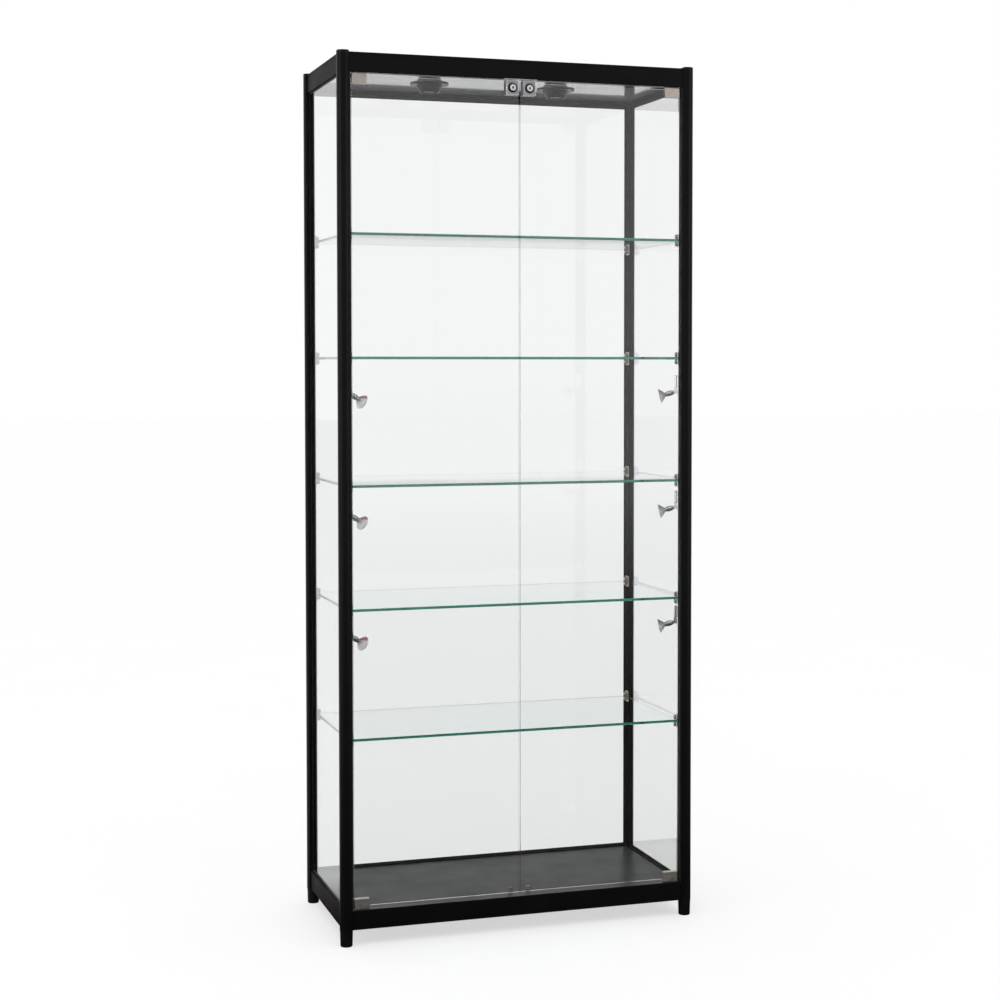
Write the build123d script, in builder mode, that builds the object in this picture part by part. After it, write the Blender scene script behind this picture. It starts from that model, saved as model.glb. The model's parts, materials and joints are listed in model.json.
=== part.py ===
from build123d import *
import math
import os

# Free-standing glass display case.  The origin is the centre of the footprint on the floor, the front
# (door side) faces -Y and +Z is up.  Every size is in millimetres.

# ---- overall sizes ----
case_width = 840.0
case_depth = 400.0
case_height = 1980.0

# ---- corner posts, feet and caps ----
post_radius = 15.0
post_flat = 11.0              # post axis to each of its two inner flats
post_bore_radius = 4.0
foot_height = 36.0
foot_top_radius = 14.5
foot_bottom_radius = 13.5
foot_edge_round = 2.5
foot_spigot_length = 15.0
cap_height = 7.0
cap_groove = 0.8
cap_edge_round = 1.0
cap_spigot_length = 12.0

# ---- rails ----
rail_height = 44.0
rail_outer = 8.0              # post axis plane to the rail's outer face
rail_wall = 2.0
rail_edge_round = 1.2
rail_groove_width = 1.0
rail_groove_depth = 0.7
rail_groove_from_edge = 6.0
top_rail_drop = 3.0           # top of the posts' caps to the top of the rails
ledge_width = 8.0
ledge_thickness = 2.0
plug_clearance = 0.2
plug_bush_gap = 1.0
tenon_radius = 4.0
tenon_length = 6.0

# ---- fixed glass ----
glass_thickness = 5.0
gasket_thickness = 0.5
gasket_lip = 4.0              # how far the gasket shows beyond a rail or post
glass_bite = 4.0              # how far a pane reaches into a rail or post

# ---- floor and ceiling panels ----
panel_clearance = 0.3
floor_thickness = 10.0
floor_drop = 2.0              # floor surface below the top of the bottom rails
ceiling_thickness = 8.0
ceiling_rise = 13.0           # ceiling surface above the bottom of the top rails

# ---- doors ----
door_gap = 3.0                # between the two doors
door_thickness = 5.0
door_setback = 9.5            # rail front face to the door's front face
door_bottom_gap = 7.0
door_top_gap = 5.5
jamb_thickness = 4.0
jamb_depth = 16.0
jamb_gap = 3.5                # jamb seal to the edge of the door
clamp_width = 35.0
clamp_height = 22.0
clamp_depth = 14.0
clamp_round = 1.5
clamp_overhang = 0.5          # clamp beyond the door's edge
clamp_rail_gap = 2.0
hinge_inset = 9.0             # clamp's outer end to the hinge axis
hinge_pin_radius = 3.0
hinge_pin_reach = 8.0
running_clearance = 0.05
bush_radius = 4.8
bush_length = 9.5
bumper_width = 11.0
bumper_depth = 4.0
bumper_height = 18.0
bumper_offset = 21.0
bumper_round = 1.5
bumper_top_round = 0.75
free_gap = 0.3

# ---- locks ----
lock_width = 30.0
lock_height = 33.5
lock_proud = 12.0
lock_edge_gap = 5.0           # middle of the case to the near side of a lock
lock_round = 1.0
lock_face_round = 0.6
lock_back_thickness = 3.0
lock_boss_radius = 4.0
lock_dish_radius = 11.0
lock_dish_depth = 2.0
cylinder_radius = 7.2
cylinder_depth = 4.5          # lock's face to the back of the plug's bore
cylinder_proud = 4.0
cylinder_rim = 1.2
cylinder_dish = 0.8
key_slot_length = 7.0
key_slot_width = 1.6
key_slot_depth = 4.0
bolt_width = 8.0
bolt_thickness = 5.0
bolt_length = 24.0
bolt_backing = 1.5            # door glass to the back of the bolt
bolt_retracted = 0.5
strike_width = 78.0
strike_depth = 12.0
strike_thickness = 1.5

# ---- shelves and their clamps ----
shelf_thickness = 6.0
shelf_levels = (1582.0, 1308.0, 1023.0, 747.0, 457.0)
shelf_end_gap = 2.5           # shelf end to the plane of the post flats
shelf_edge_gap = 2.0          # shelf front and rear edges to the plane of the post flats
bracket_thickness = 1.5
bracket_reach = 14.0
bracket_glass_gap = 1.0
shelf_bracket_height = 32.0
stud_radius = 3.0
stud_length = 8.5
stud_setback = 7.5            # post flat to the axis of the studs
pad_radius = 5.5
pad_length = 7.0

# ---- spot lamps on the front posts ----
spot_levels = (1230.0, 960.0, 690.0)
spot_azimuth = 24.0           # aim, from straight inwards towards the rear
spot_tilt_left = 30.0         # aim below the horizontal
spot_tilt_right = 15.0
spot_sleeve_radius = 4.0
spot_sleeve_overlap = 0.3
spot_setback = 10.0           # post flat to the swivel axis
spot_sleeve_start = 10.0      # tilt axis up to the sleeve
spot_sleeve_length = 24.0
spot_rod_radius = 2.0
spot_knob_radius = 3.6
spot_knob_height = 4.5
spot_knob_round = 1.5
spot_bracket_height = 26.0
fork_radius = 4.0
fork_cheek = 2.0
fork_bridge_start = 5.5
tang_width = 4.0
tilt_pin_radius = 1.5
holder_start = 6.0
holder_length = 20.0
holder_radius = 6.5
holder_end_radius = 5.0
tang_height = 7.0
reflector_length = 14.0
reflector_radius = 17.5
reflector_wall = 1.2
reflector_bulge = 0.8
capsule_radius = 3.0
capsule_length = 10.0

# ---- ceiling lights and their supply ----
light_offset = 155.0
light_setback = 25.0          # middle of the case to the lights' line, towards the rear
light_brim_radius = 45.0
light_brim_thickness = 2.5
light_dome_radius = 31.0
light_mouth_radius = 23.0
light_drop = 21.0
light_wall = 2.0
light_can_radius = 24.0
light_can_height = 16.0
lens_thickness = 3.0
lens_recess = 4.0
driver_length = 120.0
driver_width = 46.0
driver_height = 20.0
driver_round = 2.0
driver_top_round = 1.0
lead_radius = 2.0
lead_height = 8.0
gland_offset = 0.0
gland_flange_radius = 8.0
gland_flange_thickness = 3.0
gland_barrel_radius = 6.0
gland_bore_radius = 2.5

# ---- places worked out from the sizes above ----
post_x = case_width / 2 - post_radius
post_y = case_depth / 2 - post_radius
flat_x = post_x - post_flat
flat_y = post_y - post_flat
bottom_rail_top = foot_height + rail_height
top_rail_base = case_height - top_rail_drop - rail_height
rail_thickness = post_flat + rail_outer
slot_width = glass_thickness + 2 * gasket_thickness
slot_depth = glass_bite + 1.0
pane_bottom = bottom_rail_top - glass_bite
pane_top = top_rail_base + glass_bite
floor_top = bottom_rail_top - floor_drop
floor_base = floor_top - floor_thickness
ceiling_base = top_rail_base + ceiling_rise
ceiling_top = ceiling_base + ceiling_thickness
cap_base = case_height - cap_height

door_front = -(post_y + rail_outer) + door_setback
door_back = door_front + door_thickness
door_middle = (door_front + door_back) / 2
jamb_face = flat_x - jamb_thickness
door_edge = jamb_face - jamb_gap
door_bottom = bottom_rail_top + door_bottom_gap
door_top = top_rail_base - door_top_gap
hinge_x = door_edge + clamp_overhang - hinge_inset
plug_length = flat_x - hinge_x - bush_radius - plug_bush_gap
lead_level = ceiling_top + lead_height

lock_top = top_rail_base - clamp_rail_gap
lock_x = lock_edge_gap + lock_width / 2
lock_middle = lock_top - lock_height / 2
lock_front = door_front - lock_proud
bolt_back = door_front - bolt_backing
bolt_y = bolt_back - bolt_thickness / 2

bracket_inner_x = flat_x - bracket_thickness
pane_inner_x = post_x - glass_thickness / 2
strip_seat = post_flat - slot_width / 2 - bracket_glass_gap
stud_y = flat_y - stud_setback
stud_rise = shelf_thickness / 2 + pad_radius
spot_x = bracket_inner_x - spot_sleeve_radius + spot_sleeve_overlap
spot_y = -(flat_y - spot_setback)

SIDES = {"left": -1, "right": 1}
ENDS = {"front": -1, "rear": 1}
CORNERS = [(side, end) for end in (-1, 1) for side in (-1, 1)]

os.makedirs("parts", exist_ok=True)


def save(piece, label):
    """Label one finished piece and write it as its own STEP file."""
    piece.label = label
    export_step(piece, f"parts/{label}.step")


def post_section(side, end, radius, flat):
    """Draw a corner post's section: a round bar with two flats that face the other posts."""
    Circle(radius)
    with Locations((-side * (flat + radius / 2), 0)):
        Rectangle(radius, 2 * radius, mode=Mode.SUBTRACT)
    with Locations((0, -end * (flat + radius / 2))):
        Rectangle(2 * radius, radius, mode=Mode.SUBTRACT)


# ---- corner posts ----
def make_post(side, end):
    """One post with its glass slots, its bore for foot and cap, and the holes for the rails' tenons."""
    tenon_levels = (foot_height + rail_height / 2, top_rail_base + rail_height / 2)
    centre = (side * post_x, end * post_y)
    with BuildPart() as post:
        with BuildSketch(Plane((*centre, foot_height))):
            post_section(side, end, post_radius, post_flat)
            Circle(post_bore_radius, mode=Mode.SUBTRACT)
            with Locations((0, -end * (post_flat - slot_depth / 2))):
                Rectangle(slot_width, slot_depth, mode=Mode.SUBTRACT)
            if end == ENDS["rear"]:
                with Locations((-side * (post_flat - slot_depth / 2), 0)):
                    Rectangle(slot_depth, slot_width, mode=Mode.SUBTRACT)
        extrude(amount=cap_base - foot_height)
        for level in tenon_levels:
            with BuildSketch(Plane((side * flat_x, centre[1], level), z_dir=(side, 0, 0))):
                Circle(tenon_radius)
            extrude(amount=tenon_length, mode=Mode.SUBTRACT)
            with BuildSketch(Plane((centre[0], end * flat_y, level), z_dir=(0, end, 0))):
                Circle(tenon_radius)
            extrude(amount=tenon_length, mode=Mode.SUBTRACT)
    return post.part


for end_name, end in ENDS.items():
    for side_name, side in SIDES.items():
        save(make_post(side, end), f"{end_name}_{side_name}_post")

# ---- caps: the post's own section with a shadow groove under a rounded edge, and a spigot ----
with BuildPart() as post_caps:
    for side, end in CORNERS:
        centre = (side * post_x, end * post_y)
        with BuildSketch(Plane((*centre, cap_base))):
            post_section(side, end, post_radius - cap_groove, post_flat - cap_groove)
        extrude(amount=cap_groove)
        with BuildSketch(Plane((*centre, cap_base + cap_groove))):
            post_section(side, end, post_radius, post_flat)
        extrude(amount=cap_height - cap_groove)
        with BuildSketch(Plane((*centre, cap_base))):
            Circle(post_bore_radius)
        extrude(amount=-cap_spigot_length)
    fillet(post_caps.edges().group_by(Axis.Z)[-1], cap_edge_round)
save(post_caps.part, "post_caps")

# ---- feet: slightly tapered round legs with a rounded sole and a spigot up into the post ----
with BuildPart() as feet:
    for side, end in CORNERS:
        centre = (side * post_x, end * post_y)
        with BuildSketch(Plane((*centre, 0))):
            Circle(foot_bottom_radius)
        with BuildSketch(Plane((*centre, foot_height))):
            Circle(foot_top_radius)
        loft()
        with BuildSketch(Plane((*centre, foot_height))):
            Circle(post_bore_radius)
        extrude(amount=foot_spigot_length)
    fillet(feet.edges().group_by(Axis.Z)[0], foot_edge_round)
save(feet.part, "feet")


# ---- rails ----
def rail_plane(outward, base):
    """The section plane at one end of a rail: local x points outwards and local y points up."""
    across = Vector(*outward, 0)
    along = across.cross(Vector(0, 0, 1))
    offset = across * (post_y if outward[0] == 0 else post_x)
    half_length = flat_x if outward[0] == 0 else flat_y
    start = offset - along * half_length + Vector(0, 0, base)
    return Plane(start, x_dir=across, z_dir=along), 2 * half_length


def make_rail(outward, base, top_rail, slotted, ledge_level):
    """A hollow rail with an optional glass slot and an optional inner ledge for a panel."""
    plane, length = rail_plane(outward, base)
    slot_edge = 0.0 if top_rail else rail_height
    groove_level = rail_height - rail_groove_from_edge if top_rail else rail_groove_from_edge
    middle = (rail_outer - post_flat) / 2
    with BuildPart() as rail:
        with BuildSketch(plane) as section:
            with Locations((middle, rail_height / 2)):
                Rectangle(rail_thickness, rail_height)
            fillet(section.vertices().sort_by(Axis.X)[-2:], rail_edge_round)
            with Locations((middle, rail_height / 2)):
                Rectangle(rail_thickness - 2 * rail_wall, rail_height - 2 * rail_wall, mode=Mode.SUBTRACT)
            with Locations((rail_outer, groove_level)):
                Rectangle(2 * rail_groove_depth, rail_groove_width, mode=Mode.SUBTRACT)
            if slotted:
                with Locations((0, slot_edge)):
                    Rectangle(slot_width, 2 * rail_wall, mode=Mode.SUBTRACT)
            if ledge_level is not None:
                with Locations((-post_flat - ledge_width / 2, ledge_level - base - ledge_thickness / 2)):
                    Rectangle(ledge_width, ledge_thickness)
        extrude(amount=length)
    return rail.part


def bush_places(level):
    """The four hinge bushes' places that lie on one rail."""
    return [(side * hinge_x, door_middle, level) for side in (-1, 1)]


# ---- bottom rails ----
plain_bottom_rail = make_rail((0, -1), foot_height, False, False, floor_base)
with BuildPart() as bottom_front_rail:
    add(plain_bottom_rail)
    for place in bush_places(bottom_rail_top):
        with BuildSketch(Plane(place)):
            Circle(bush_radius)
        extrude(amount=-rail_wall, mode=Mode.SUBTRACT)
save(bottom_front_rail.part, "bottom_front_rail")
save(make_rail((0, 1), foot_height, False, True, floor_base), "bottom_rear_rail")
save(make_rail((-1, 0), foot_height, False, True, None), "bottom_left_rail")
save(make_rail((1, 0), foot_height, False, True, None), "bottom_right_rail")

# ---- top rails ----
plain_top_rails = {end: make_rail((0, end), top_rail_base, True, end > 0, ceiling_base) for end in (-1, 1)}
with BuildPart() as top_front_rail:
    add(plain_top_rails[-1])
    for place in bush_places(top_rail_base):
        with BuildSketch(Plane(place)):
            Circle(bush_radius)
        extrude(amount=rail_wall, mode=Mode.SUBTRACT)
    with BuildSketch(Plane((0, bolt_y, top_rail_base))):
        Rectangle(strike_width, strike_depth)
    extrude(amount=strike_thickness, mode=Mode.SUBTRACT)
    with BuildSketch(Plane((0, bolt_y, top_rail_base))):
        with Locations((-lock_x, 0), (lock_x, 0)):
            Rectangle(bolt_width + 2 * free_gap, bolt_thickness + 2 * free_gap)
    extrude(amount=rail_wall, mode=Mode.SUBTRACT)
save(top_front_rail.part, "top_front_rail")
with BuildPart() as top_rear_rail:
    add(plain_top_rails[1])
    with BuildSketch(Plane((gland_offset, flat_y, lead_level), z_dir=(0, 1, 0))):
        Circle(gland_barrel_radius)
    extrude(amount=rail_thickness, mode=Mode.SUBTRACT)
save(top_rear_rail.part, "top_rear_rail")
save(make_rail((-1, 0), top_rail_base, True, True, None), "top_left_rail")
save(make_rail((1, 0), top_rail_base, True, True, None), "top_right_rail")

# ---- end plugs: a block inside each end of a rail with a round tenon into the post ----
with BuildPart() as rail_end_plugs:
    plug_thickness = rail_thickness - 2 * rail_wall - 2 * plug_clearance
    plug_height = rail_height - 2 * rail_wall - 2 * slot_depth
    for base in (foot_height, top_rail_base):
        level = base + rail_height / 2
        for side, end in CORNERS:
            middle_y = end * (post_y + (rail_outer - post_flat) / 2)
            middle_x = side * (post_x + (rail_outer - post_flat) / 2)
            with BuildSketch(Plane((side * flat_x, middle_y, level), z_dir=(-side, 0, 0))):
                Rectangle(plug_height, plug_thickness)
            extrude(amount=plug_length)
            with BuildSketch(Plane((middle_x, end * flat_y, level), x_dir=(1, 0, 0), z_dir=(0, -end, 0))):
                Rectangle(plug_thickness, plug_height)
            extrude(amount=plug_length)
            with BuildSketch(Plane((side * flat_x, end * post_y, level), z_dir=(side, 0, 0))):
                Circle(tenon_radius)
            extrude(amount=tenon_length)
            with BuildSketch(Plane((side * post_x, end * flat_y, level), z_dir=(0, end, 0))):
                Circle(tenon_radius)
            extrude(amount=tenon_length)
save(rail_end_plugs.part, "rail_end_plugs")

# ---- floor and ceiling panels, which lie on the long rails' ledges ----
panel_width = 2 * (flat_x - panel_clearance)
panel_depth = 2 * (flat_y - panel_clearance)
with BuildPart() as floor_panel:
    with BuildSketch(Plane.XY.offset(floor_base)):
        Rectangle(panel_width, panel_depth)
    extrude(amount=floor_thickness)
save(floor_panel.part, "floor_panel")

with BuildPart() as ceiling_panel:
    with BuildSketch(Plane.XY.offset(ceiling_base)):
        Rectangle(panel_width, panel_depth)
        with Locations((-light_offset, light_setback), (light_offset, light_setback)):
            Circle(light_can_radius + panel_clearance, mode=Mode.SUBTRACT)
    extrude(amount=ceiling_thickness)
save(ceiling_panel.part, "ceiling_panel")

# ---- fixed panes: two sides and a back, each with a gasket frame round its edge ----
pane_height = pane_top - pane_bottom
pane_middle = (pane_top + pane_bottom) / 2
side_pane_length = 2 * (flat_y + glass_bite)
back_pane_length = 2 * (flat_x + glass_bite)


def make_pane(plane, length):
    """One flat pane of glass, centred on its plane."""
    with BuildPart() as pane:
        with BuildSketch(plane):
            Rectangle(length, pane_height)
        extrude(amount=glass_thickness / 2, both=True)
    return pane.part


def make_gasket(plane, length):
    """The U-shaped rubber strip round one pane, from its edge to a lip beyond the frame."""
    inner_margin = 2 * (glass_bite + gasket_lip)
    outer_margin = 2 * gasket_thickness
    with BuildPart() as gasket:
        with BuildSketch(plane):
            Rectangle(length + outer_margin, pane_height + outer_margin)
            Rectangle(length - inner_margin, pane_height - inner_margin, mode=Mode.SUBTRACT)
        extrude(amount=slot_width / 2, both=True)
        with BuildSketch(plane):
            Rectangle(length, pane_height)
        extrude(amount=glass_thickness / 2, both=True, mode=Mode.SUBTRACT)
    return gasket.part


side_planes = {name: Plane((side * post_x, 0, pane_middle), x_dir=(0, 1, 0), z_dir=(1, 0, 0))
               for name, side in SIDES.items()}
back_plane = Plane((0, post_y, pane_middle), x_dir=(1, 0, 0), z_dir=(0, -1, 0))
for side_name, plane in side_planes.items():
    save(make_pane(plane, side_pane_length), f"{side_name}_side_glass")
save(make_pane(back_plane, back_pane_length), "back_glass")

gasket_frames = [make_gasket(plane, side_pane_length) for plane in side_planes.values()]
gasket_frames.append(make_gasket(back_plane, back_pane_length))
with BuildPart() as glass_gaskets:
    add(gasket_frames)
save(glass_gaskets.part, "glass_gaskets")

# ---- jamb seals on the front posts, which the doors close beside ----
with BuildPart() as door_jamb_seals:
    for side in (-1, 1):
        jamb_x = side * (flat_x - jamb_thickness / 2)
        with BuildSketch(Plane((jamb_x, -post_y - rail_outer + jamb_depth / 2 + free_gap, bottom_rail_top))):
            Rectangle(jamb_thickness, jamb_depth)
        extrude(amount=top_rail_base - bottom_rail_top)
save(door_jamb_seals.part, "door_jamb_seals")


# ---- shelves, and the studs that clamp them, on angles at the front posts and strips at the rear ----
def angle_bracket(side, end, base, height):
    """An angle on a post: one leg on the post's flat, the other reaching into the case."""
    outer_x = pane_inner_x - bracket_glass_gap
    with BuildPart() as bracket:
        with BuildSketch(Plane((side * bracket_inner_x, end * flat_y, base))):
            with Locations((side * (outer_x - bracket_inner_x) / 2, -end * bracket_thickness / 2)):
                Rectangle(outer_x - bracket_inner_x, bracket_thickness)
            with Locations((side * bracket_thickness / 2, -end * bracket_reach / 2)):
                Rectangle(bracket_thickness, bracket_reach)
        extrude(amount=height)
    return bracket.part


for number, level in enumerate(shelf_levels, start=1):
    with BuildPart() as shelf:
        with BuildSketch(Plane.XY.offset(level - shelf_thickness / 2)):
            Rectangle(2 * (flat_x - shelf_end_gap), 2 * (flat_y - shelf_edge_gap))
        extrude(amount=shelf_thickness)
    save(shelf.part, f"shelf_{number}")

stud_places = [(side, end, level + rise) for level in shelf_levels for rise in (-stud_rise, stud_rise)
               for side, end in CORNERS]
front_angles = [angle_bracket(side, -1, level - shelf_bracket_height / 2, shelf_bracket_height)
                for level in shelf_levels for side in (-1, 1)]
with BuildPart() as shelf_clamps:
    add(front_angles)
    for level in shelf_levels:
        for side in (-1, 1):
            strip_middle = flat_y + (strip_seat - bracket_reach) / 2
            strip_base = level - shelf_bracket_height / 2
            with BuildSketch(Plane((side * (flat_x - bracket_thickness / 2), strip_middle, strip_base))):
                Rectangle(bracket_thickness, strip_seat + bracket_reach)
            extrude(amount=shelf_bracket_height)
    for side, end, level in stud_places:
        with BuildSketch(Plane((side * bracket_inner_x, end * stud_y, level), z_dir=(-side, 0, 0))):
            Circle(stud_radius)
        extrude(amount=stud_length)
save(shelf_clamps.part, "shelf_clamps")

with BuildPart() as clamp_pads:
    for side, end, level in stud_places:
        with BuildSketch(Plane((side * bracket_inner_x, end * stud_y, level), z_dir=(-side, 0, 0))):
            Circle(pad_radius)
            Circle(stud_radius, mode=Mode.SUBTRACT)
        extrude(amount=pad_length)
save(clamp_pads.part, "clamp_pads")

# ---- hinge bushes pressed into the rails: a round sleeve with a bore for the door's pin ----
with BuildPart() as hinge_bushes:
    for level, inwards in ((bottom_rail_top, -1), (top_rail_base, 1)):
        for place in bush_places(level):
            with BuildSketch(Plane(place)):
                Circle(bush_radius)
            extrude(amount=inwards * bush_length)
            with BuildSketch(Plane(place)):
                Circle(hinge_pin_radius + running_clearance)
            extrude(amount=inwards * bush_length, mode=Mode.SUBTRACT)
save(hinge_bushes.part, "hinge_bushes")

# ---- strike plate let into the underside of the top front rail ----
with BuildPart() as strike_plate:
    with BuildSketch(Plane((0, bolt_y, top_rail_base))):
        Rectangle(strike_width, strike_depth)
        with Locations((-lock_x, 0), (lock_x, 0)):
            Rectangle(bolt_width + 2 * free_gap, bolt_thickness + 2 * free_gap, mode=Mode.SUBTRACT)
    extrude(amount=strike_thickness)
save(strike_plate.part, "strike_plate")

# ---- bumpers that stop the doors at the bottom rail ----
with BuildPart() as door_bumpers:
    for side in (-1, 1):
        bumper_y = door_back + free_gap + bumper_depth / 2
        with BuildSketch(Plane((side * bumper_offset, bumper_y, bottom_rail_top))):
            RectangleRounded(bumper_width, bumper_depth, bumper_round)
        extrude(amount=bumper_height)
    fillet(door_bumpers.edges().group_by(Axis.Z)[-1], bumper_top_round)
save(door_bumpers.part, "door_bumpers")


# ---- doors: a frameless pane with a pivot clamp at its top and bottom outer corners ----
def make_door(side):
    """One door's glass with the hole for its lock."""
    near_edge = door_gap / 2
    with BuildPart() as door:
        with BuildSketch(Plane((side * (door_edge + near_edge) / 2, door_front, door_bottom))):
            with Locations((0, door_thickness / 2)):
                Rectangle(door_edge - near_edge, door_thickness)
        extrude(amount=door_top - door_bottom)
        with BuildSketch(Plane((side * lock_x, door_front, lock_middle), z_dir=(0, 1, 0))):
            Circle(lock_boss_radius)
        extrude(amount=door_thickness, mode=Mode.SUBTRACT)
    return door.part


def make_clamps(side):
    """The two pivot clamps of a door: a block slotted for the glass, with a hinge pin."""
    clamp_end = door_edge + clamp_overhang
    levels = ((bottom_rail_top + clamp_rail_gap, 1), (top_rail_base - clamp_rail_gap, -1))
    with BuildPart() as clamps:
        for base, inwards in levels:
            with BuildSketch(Plane((side * (clamp_end - clamp_width / 2), door_middle, base))):
                RectangleRounded(clamp_width, clamp_depth, clamp_round)
            extrude(amount=inwards * clamp_height)
            with BuildSketch(Plane((side * hinge_x, door_middle, base))):
                Circle(hinge_pin_radius)
            extrude(amount=-inwards * hinge_pin_reach)
        with BuildSketch(Plane((side * door_edge / 2, door_middle, door_bottom))):
            Rectangle(door_edge, door_thickness)
        extrude(amount=door_top - door_bottom, mode=Mode.SUBTRACT)
    return clamps.part


# ---- locks: a body clamped through the door's glass, a key cylinder and a rising bolt ----
def make_lock_body(side):
    """The lock's case in front of the glass, its boss through it and its plate behind."""
    place_x = side * lock_x
    with BuildPart() as body:
        with BuildSketch(Plane((place_x, lock_front, lock_middle), x_dir=(1, 0, 0), z_dir=(0, 1, 0))):
            Rectangle(lock_width, lock_height)
        extrude(amount=lock_proud)
        fillet(body.edges().filter_by(Axis.Z), lock_round)
        fillet(body.edges().group_by(Axis.Y)[0], lock_face_round)
        with BuildSketch(Plane((place_x, door_front, lock_middle), z_dir=(0, 1, 0))):
            Circle(lock_boss_radius)
        extrude(amount=door_thickness)
        with BuildSketch(Plane((place_x, door_back, lock_middle), x_dir=(1, 0, 0), z_dir=(0, 1, 0))):
            Rectangle(lock_width, lock_height)
        extrude(amount=lock_back_thickness)
        with BuildSketch(Plane((place_x, lock_front, lock_middle), x_dir=(1, 0, 0), z_dir=(0, 1, 0))):
            Circle(lock_dish_radius)
        extrude(amount=lock_dish_depth, mode=Mode.SUBTRACT)
        with BuildSketch(Plane((place_x, lock_front, lock_middle), x_dir=(1, 0, 0), z_dir=(0, 1, 0))):
            Circle(cylinder_radius + free_gap)
        extrude(amount=cylinder_depth, mode=Mode.SUBTRACT)
        with BuildSketch(Plane((place_x, bolt_y, lock_top))):
            Rectangle(bolt_width + 2 * free_gap, bolt_thickness + 2 * free_gap)
        extrude(amount=-(bolt_retracted + bolt_length + free_gap), mode=Mode.SUBTRACT)
    return body.part


def make_cylinder(side):
    """The round key plug, dished inside its rim, with a key slot."""
    plug_front = lock_front - cylinder_proud
    face = Plane((side * lock_x, plug_front, lock_middle), x_dir=(1, 0, 0), z_dir=(0, -1, 0))
    with BuildPart() as cylinder:
        with BuildSketch(face):
            Circle(cylinder_radius)
        extrude(amount=-(cylinder_proud + cylinder_depth - free_gap))
        with BuildSketch(face):
            Circle(cylinder_radius - cylinder_rim)
        extrude(amount=-cylinder_dish, mode=Mode.SUBTRACT)
        with BuildSketch(face):
            SlotOverall(key_slot_length, key_slot_width, rotation=90)
        extrude(amount=-key_slot_depth, mode=Mode.SUBTRACT)
    return cylinder.part


def make_bolt(side):
    """The flat bolt, stored retracted inside the lock's body."""
    with BuildPart() as bolt:
        with BuildSketch(Plane((side * lock_x, bolt_y, lock_top - bolt_retracted))):
            Rectangle(bolt_width, bolt_thickness)
        extrude(amount=-bolt_length)
    return bolt.part


for side_name, side in SIDES.items():
    save(make_door(side), f"{side_name}_door_glass")
    save(make_clamps(side), f"{side_name}_door_clamps")
    save(make_lock_body(side), f"{side_name}_lock_body")
    save(make_cylinder(side), f"{side_name}_lock_cylinder")
    save(make_bolt(side), f"{side_name}_lock_bolt")

# ---- brackets of the spot lamps: an angle on the post with an upright sleeve ----
spot_angles = [angle_bracket(side, -1, level + spot_sleeve_start, spot_bracket_height)
               for side in (-1, 1) for level in spot_levels]
with BuildPart() as spot_brackets:
    add(spot_angles)
    for side in (-1, 1):
        for level in spot_levels:
            sleeve = Plane((side * spot_x, spot_y, level + spot_sleeve_start))
            with BuildSketch(sleeve):
                Circle(spot_sleeve_radius)
            extrude(amount=spot_sleeve_length)
            with BuildSketch(sleeve):
                Circle(spot_rod_radius + running_clearance)
            extrude(amount=spot_sleeve_length, mode=Mode.SUBTRACT)
save(spot_brackets.part, "spot_brackets")


def spot_directions(side):
    """The lamp's level heading, its aim and its tilt axis."""
    turn = math.radians(spot_azimuth)
    drop = math.radians(spot_tilt_left if side < 0 else spot_tilt_right)
    heading = Vector(-side * math.cos(turn), math.sin(turn), 0)
    aim = heading * math.cos(drop) - Vector(0, 0, 1) * math.sin(drop)
    return heading, aim, Vector(0, 0, 1).cross(heading)


def make_spot_arm(side, level):
    """The swivelling rod with a knob above the sleeve and a fork with the tilt pin below it."""
    heading, _, tilt_axis = spot_directions(side)
    pivot = Vector(side * spot_x, spot_y, level)
    cheek_outer = tang_width / 2 + free_gap + fork_cheek
    fork_top = spot_sleeve_start - free_gap
    rod_top = spot_sleeve_start + spot_sleeve_length + free_gap
    with BuildPart() as arm:
        with BuildSketch(Plane(pivot + Vector(0, 0, fork_bridge_start), x_dir=heading)):
            Rectangle(2 * fork_radius, 2 * cheek_outer)
        extrude(amount=fork_top - fork_bridge_start)
        for direction in (-1, 1):
            inner_face = pivot + tilt_axis * (direction * (tang_width / 2 + free_gap))
            with BuildSketch(Plane(inner_face, x_dir=heading, z_dir=tilt_axis * direction)):
                Circle(fork_radius)
            extrude(amount=fork_cheek)
            with BuildSketch(Plane(pivot, x_dir=heading)):
                with Locations((0, direction * (cheek_outer - fork_cheek / 2))):
                    Rectangle(2 * fork_radius, fork_cheek)
            extrude(amount=fork_top)
        with BuildSketch(Plane(pivot - tilt_axis * cheek_outer, x_dir=heading, z_dir=tilt_axis)):
            Circle(tilt_pin_radius)
        extrude(amount=2 * cheek_outer)
        with BuildSketch(Plane(pivot + Vector(0, 0, fork_top))):
            Circle(spot_rod_radius)
        extrude(amount=rod_top - fork_top)
        with BuildSketch(Plane(pivot + Vector(0, 0, rod_top))):
            Circle(spot_knob_radius)
        extrude(amount=spot_knob_height)
        fillet(arm.edges().group_by(Axis.Z)[-1], spot_knob_round)
    return arm.part


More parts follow.
